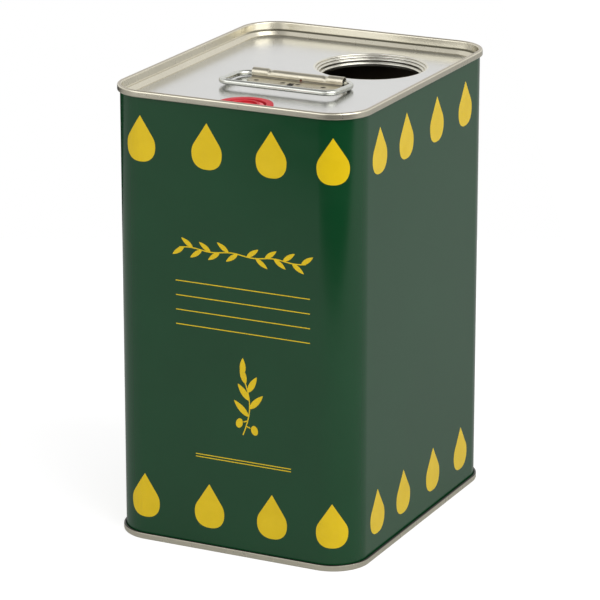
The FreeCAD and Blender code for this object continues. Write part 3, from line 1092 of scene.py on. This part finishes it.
def make_clip(metal):
    """Clip: a hat-section strip with a crimped tunnel for the bail, and weld dents in its flanges."""
    mesh = bmesh.new()
    half_length = (clip_high.x - clip_low.x) / 2
    foot = bend(90, clip_foot_radius)
    rings = []
    for station in clip_stations(half_length):
        flange = flange_length(station, half_length)
        wall_height = ridge_height(station) - tunnel_radius - clip_plate - clip_foot_radius
        strip = [run(flange / flange_strips)] * flange_strips
        wall = [run(wall_height / wall_strips)] * wall_strips
        moves = strip + [foot] + wall + [bend(-180, tunnel_radius)] + wall + [foot] + strip
        start = (-(tunnel_radius + clip_plate + clip_foot_radius + flange), panel_top + clip_plate / 2)
        upper = sheet_side(start, 0, moves, clip_plate, 1)
        under = sheet_side(start, 0, moves, clip_plate, -1)
        outline = [(across, dented(station, across, up)) for across, up in upper] + under[::-1]
        rings.append([mesh.verts.new((clip_x + station, clip_y + across, up)) for across, up in outline])
    skin(mesh, rings)
    half = len(rings[0]) // 2
    for ring in (rings[0], rings[-1]):
        skin(mesh, [ring[:half], ring[:half - 1:-1]], ring_closed=False)
    finish_piece("clip_strip", mesh, "tin", [metal], "handle_clip")


def bail_path():
    """Middle line of the bail's wire, laid flat, from one tip round the front to the other."""
    half = (bail_high.x - bail_low.x) / 2 - wire_radius
    reach = ((clip_y - bail_low.y) - wire_radius) / math.cos(math.radians(bail_lift_angle))
    tip = half - bail_tip_length
    right = [Vector((tip, 0, 0)), Vector((tip + wire_end_chamfer, 0, 0))]
    bends = (
        (half - bail_hook_radius, -bail_hook_radius, bail_hook_radius, 90),
        (half - bail_corner_radius, bail_corner_radius - reach, bail_corner_radius, 0),
    )
    for x, y, radius, first in bends:
        for step in range(path_steps + 1):
            angle = math.radians(first - 90 * step / path_steps)
            right.append(Vector((x, y, 0)) + polar(radius, angle))
    return right + [Vector((-point.x, point.y, 0)) for point in right[::-1]]


def make_bail(metal):
    """Bail: one round wire with its two ends turned into the clip's tunnel."""
    mesh = bmesh.new()
    points = bail_path()
    last = len(points) - 1
    axis = Vector(((bail_low.x + bail_high.x) / 2, bail_axis[1], bail_axis[2]))
    tilt = Matrix.Rotation(math.radians(-bail_lift_angle), 3, "X")
    rings = []
    for index, point in enumerate(points):
        way = (points[min(index + 1, last)] - points[max(index - 1, 0)]).normalized()
        radius = wire_radius - wire_end_chamfer if index in (0, last) else wire_radius
        ring = []
        for step in range(wire_steps):
            across, rise = polar(radius, 2 * math.pi * step / wire_steps).xy
            place = point + Vector((-way.y * across, way.x * across, rise))
            ring.append(mesh.verts.new(axis + tilt @ place))
        rings.append(ring)
    capped_skin(mesh, rings)
    finish_piece("bail_wire", mesh, "bail", [metal], "handle_bail")


# Spout

def add_turned(mesh, corners):
    """Round body about the spout's axis, from the corners of a closed outline of radius and height."""
    rings = spout_rings(mesh, rounded(corners, flange_edge))
    skin(mesh, rings + rings[:1])


def make_collar(plastic):
    """Collar: flange on the panel, snap bead under it, recess for the cap and well for the tube."""
    mesh = bmesh.new()
    flange_radius = (base_high.x - base_low.x) / 2
    flange_top = base_high.z
    barrel_bottom = base_low.z
    recess_floor = flange_top - recess_depth
    guide_underside = recess_floor - guide_thickness
    guide_radius = tube_radius + slide_clearance
    bead_top = panel_top - plate - snap_bead_clearance
    add_turned(mesh, [
        (recess_radius, flange_top),
        (flange_radius, flange_top),
        (flange_radius, panel_top),
        (barrel_radius, panel_top),
        (barrel_radius, bead_top),
        (barrel_radius + hole_clearance + snap_bead_height, bead_top - snap_bead_height),
        (barrel_radius, bead_top - snap_bead_length),
        (barrel_radius, barrel_bottom),
        (well_radius, barrel_bottom),
        (well_radius, guide_underside),
        (guide_radius, guide_underside),
        (guide_radius, recess_floor),
        (recess_radius, recess_floor),
    ])
    finish_piece("spout_collar", mesh, "tin", [plastic], "spout_base")


def make_tube(plastic):
    """Sliding tube with a rounded pouring lip and a foot."""
    mesh = bmesh.new()
    foot_radius = (tube_high.x - tube_low.x) / 2
    foot_top = tube_low.z + tube_foot_thickness
    bore_radius = tube_radius - tube_wall
    add_turned(mesh, [
        (bore_radius, tube_low.z),
        (foot_radius, tube_low.z),
        (foot_radius, foot_top),
        (tube_radius, foot_top),
        (tube_radius, tube_high.z),
        (bore_radius, tube_high.z),
    ])
    finish_piece("pour_tube", mesh, "spout", [plastic], "spout_tube")


def add_bar(mesh, start, end, middle, corners, end_shares):
    """Bar along X with small bevels: corners are its outline, in Y and Z about its middle."""
    edge = math.copysign(lug_edge, end - start)
    stations = ((start, end_shares), (start + edge, (1, 1)), (end - edge, (1, 1)), (end, end_shares))
    rings = []
    for x, (share_y, share_z) in stations:
        places = [(x, middle[0] + y * share_y, middle[1] + z * share_z) for y, z in corners]
        rings.append([mesh.verts.new(place) for place in places])
    capped_skin(mesh, rings)


def spout_point(radius, angle, up):
    """Place at a radius and an angle about the spout's axis."""
    return Vector((spout_x, spout_y, up)) + polar(radius, angle)


def fluted_ring(mesh, radius, up):
    """Ring round the cap's skirt, with a small round flute at each of its places."""
    ring = []
    for step in range(cap_steps):
        off = radius * (((step / flute_steps + 0.5) % 1) - 0.5) * 2 * math.pi / flute_count
        reach = radius - math.sqrt(max(flute_radius ** 2 - off ** 2, 0))
        ring.append(mesh.verts.new(spout_point(reach, 2 * math.pi * step / cap_steps, up)))
    return ring


def make_cap(plastic):
    """Screw cap: flat top with a gate mark, fluted skirt, and two lugs for the pull's pivots."""
    mesh = bmesh.new()
    face_up = cap_high.z - lug_height
    underside = face_up - cap_top_thickness
    radius = (cap_high.x - cap_low.x) / 2
    skirt_radius = tube_radius + slide_clearance
    top = [(gate_radius * share, face_up - gate_depth) for share in gate_shares]
    top += [(gate_radius, face_up), (radius - cap_edge, face_up)]
    for share in cap_edge_shares:
        arc = polar(cap_edge, share * math.pi / 2)
        top.append((radius - cap_edge + arc.y, face_up - cap_edge + arc.x))
    rings = spout_rings(mesh, top + [(radius, underside)], cap_steps)
    rings += [fluted_ring(mesh, radius, up) for up in (underside, cap_low.z)]
    rings += spout_rings(mesh, [(skirt_radius, up) for up in (cap_low.z, underside)], cap_steps)
    capped_skin(mesh, rings)
    half_y = lug_width / 2
    half_z = (lug_height + cap_top_thickness / 2) / 2
    corners = [(-half_y, -half_z), (half_y, -half_z), (half_y, half_z), (-half_y, half_z)]
    end_shares = (1 - lug_edge / half_y, 1 - lug_edge / half_z)
    for side in (-1, 1):
        start = spout_x + side * (pull_radius + pull_width / 2 + snap_bead_clearance)
        end = start + side * lug_thickness
        add_bar(mesh, start, end, (spout_y, cap_high.z - half_z), rounded(corners, lug_edge), end_shares)
    finish_piece("cap_shell", mesh, "cap", [plastic], "spout_cap")


def make_liner(foam):
    """Sealing disc between the cap and the tube's lip."""
    mesh = bmesh.new()
    edge = (liner_high.z - liner_low.z) / 4
    inner = tube_radius - edge
    lower = [(inner, liner_low.z), (tube_radius, liner_low.z + edge)]
    upper = [(tube_radius, liner_high.z - edge), (inner, liner_high.z)]
    capped_skin(mesh, spout_rings(mesh, lower + upper))
    finish_piece("seal_disc", mesh, "cap", [foam], "cap_liner")


def make_pull(plastic):
    """Half-ring pull with an eye and a pivot at each end."""
    mesh = bmesh.new()
    low = pull_low.z
    high = pull_high.z
    inner = pull_radius - pull_width / 2
    outer = pull_radius + pull_width / 2
    outline = rounded([(inner, low), (outer, low), (outer, high), (inner, high)], pull_edge)
    rings = []
    for step in range(pull_steps + 1):
        angle = math.pi * step / pull_steps
        rings.append([mesh.verts.new(spout_point(radius, angle, up)) for radius, up in outline])
    capped_skin(mesh, rings)
    middle = (spout_y, (low + high) / 2)
    pins = ((inner, outer, (high - low) / 2), (outer, outer + pivot_length, pivot_radius))
    for start, end, radius in pins:
        circle = [polar(radius, 2 * math.pi * step / pivot_steps).xy for step in range(pivot_steps)]
        for side in (-1, 1):
            add_bar(mesh, spout_x + side * start, spout_x + side * end, middle, circle, pivot_end_shares)
    finish_piece("pull_ring", mesh, "pull", [plastic], "cap_pull")


# Studio

def add_background(tree, strength):
    """White light of the world."""
    return add_node(tree, "Background", {"Color": (1, 1, 1), "Strength": strength}).outputs["Background"]


def mix_shaders(tree, factor, first, second):
    """The second shader where the factor is 1, the first elsewhere."""
    mix = tree.nodes.new("ShaderNodeMixShader")
    for socket, value in zip(mix.inputs, (factor, first, second)):
        tree.links.new(value, socket)
    return mix.outputs["Shader"]


def make_world():
    """White where it shows, darker overhead and below the floor in gloss, and a plain fill light."""
    world = bpy.data.worlds.new("studio")
    bpy.context.scene.world = world
    world.use_nodes = True
    tree = world.node_tree
    rays = tree.nodes.new("ShaderNodeLightPath").outputs
    way = tree.nodes.new("ShaderNodeTexCoord").outputs["Generated"]
    height = add_node(tree, "SeparateXYZ", {"Vector": way}).outputs["Z"]
    overhead = map_range(tree, height, ceiling_span, 1, ceiling_strength, smooth=True)
    below = map_range(tree, height, under_span, under_strength, 1)
    gloss = add_background(tree, combine(tree, "MULTIPLY", overhead, below))
    unseen = mix_shaders(tree, rays["Is Glossy Ray"], add_background(tree, fill_strength), gloss)
    seen = combine(tree, "MAXIMUM", rays["Is Camera Ray"], rays["Is Transmission Ray"])
    surface = mix_shaders(tree, seen, unseen, add_background(tree, 1))
    tree.links.new(surface, tree.nodes["World Output"].inputs["Surface"])


def floor_paper():
    """Matt pale paper that shows white to the camera and a little brighter in gloss."""
    material, tree, shader = new_material("floor_paper")
    feed(tree, shader, {"Base Color": (floor_grey,) * 3, "Roughness": 1, "Specular IOR Level": 0})
    rays = tree.nodes.new("ShaderNodeLightPath").outputs
    in_camera = combine(tree, "MULTIPLY", rays["Is Camera Ray"], floor_camera_glow)
    in_gloss = combine(tree, "MULTIPLY", rays["Is Glossy Ray"], floor_gloss_glow)
    glow = add_node(tree, "Emission", {"Strength": combine(tree, "ADD", in_camera, in_gloss)})
    add = tree.nodes.new("ShaderNodeAddShader")
    tree.links.new(shader.outputs["BSDF"], add.inputs[0])
    tree.links.new(glow.outputs["Emission"], add.inputs[1])
    tree.links.new(add.outputs["Shader"], tree.nodes["Material Output"].inputs["Surface"])
    return material


def make_floor():
    """Pale table top: its near front edge turns forward on the left, and its rear is cut off there."""
    mesh = bmesh.new()
    azimuth = math.radians(camera_azimuth)
    forward = polar(1, azimuth - math.pi / 2)
    right = polar(1, azimuth)
    wing = floor_front + (floor_reach - floor_front_bend) / math.tan(2 * azimuth)
    corners = (
        (-floor_reach, wing),
        (-floor_front_bend, floor_front),
        (floor_reach, floor_front),
        (floor_reach, -floor_reach),
        (floor_rear_side, -floor_reach),
        (floor_rear_side, -floor_rear),
        (-floor_reach, -floor_rear),
    )
    mesh.faces.new([mesh.verts.new(right * across + forward * ahead) for across, ahead in corners])
    floor = mesh_object("floor", mesh, [floor_paper()])


def add_aimed(name, data, place, target):
    """A lamp or a camera at a place, aimed at a target."""
    aimed = bpy.data.objects.new(name, data)
    aimed.location = place
    aimed.rotation_mode = "QUATERNION"
    aimed.rotation_quaternion = (target - place).to_track_quat("-Z", "Y")
    bpy.context.scene.collection.objects.link(aimed)
    return aimed


def make_lamp(name, place, size, power):
    """Soft square lamp aimed at the middle of the tin."""
    data = bpy.data.lights.new(name, "AREA")
    data.size = size
    data.energy = power
    add_aimed(name, data, place, lamp_target)


def make_camera():
    """Camera at the photograph's viewing angle."""
    azimuth = math.radians(camera_azimuth)
    elevation = math.radians(camera_elevation)
    back = polar(math.cos(elevation), azimuth - math.pi / 2) + Vector((0, 0, math.sin(elevation)))
    data = bpy.data.cameras.new("camera")
    data.lens = camera_lens
    place = camera_target + back * camera_distance
    bpy.context.scene.camera = add_aimed("camera", data, place, camera_target)


def dress_node(node, material):
    """Give a CAD node a material of its own."""
    data = frame["nodes"][node].data
    data.materials.clear()
    data.materials.append(material)


def main():
    """Dress the frame, light it and place the camera."""
    bpy.context.scene.view_settings.view_transform = "Standard"
    green = printed_ink("green_print", print_green, patch_scale=26, grain_share=0.12, rough=(0.15, 0.21))
    yellow = printed_ink("yellow_ink", print_yellow, patch_scale=120, grain_share=0.15, rough=(0.16, 0.24))
    panel = bright_plate("panel_plate", panel_tin, rough=(0.19, 0.21), stretch=(1, 30, 30))
    neck = bright_plate("neck_plate", neck_tin, rough=(0.24, 0.26), stretch=(4, 4, 4))
    rim = rim_plate()
    red = red_plastic("red_plastic", collar_red, rough=(0.52, 0.62))
    pale_red = red_plastic("pale_red_plastic", cap_red, rough=(0.24, 0.36))
    compound = soft_seal("sealing_compound", compound_grey, scale=3000)
    foam = soft_seal("liner_foam", foam_white, scale=4200)
    make_body([green, inner_lacquer()])
    make_drops(yellow)
    make_ornament(yellow)
    make_weld(rim)
    make_top_end([panel, rim, neck])
    make_bottom_end([panel, rim])
    dress_node("top_seam_compound", compound)
    dress_node("bottom_seam_compound", compound)
    make_clip(clip_steel())
    make_bail(zinc_wire())
    make_collar(red)
    make_tube(red)
    make_cap(pale_red)
    make_liner(foam)
    make_pull(red)

    make_world()
    make_floor()
    make_lamp("key", key_place, key_size, key_power)
    make_lamp("fill", fill_place, fill_size, fill_power)
    make_camera()


main()
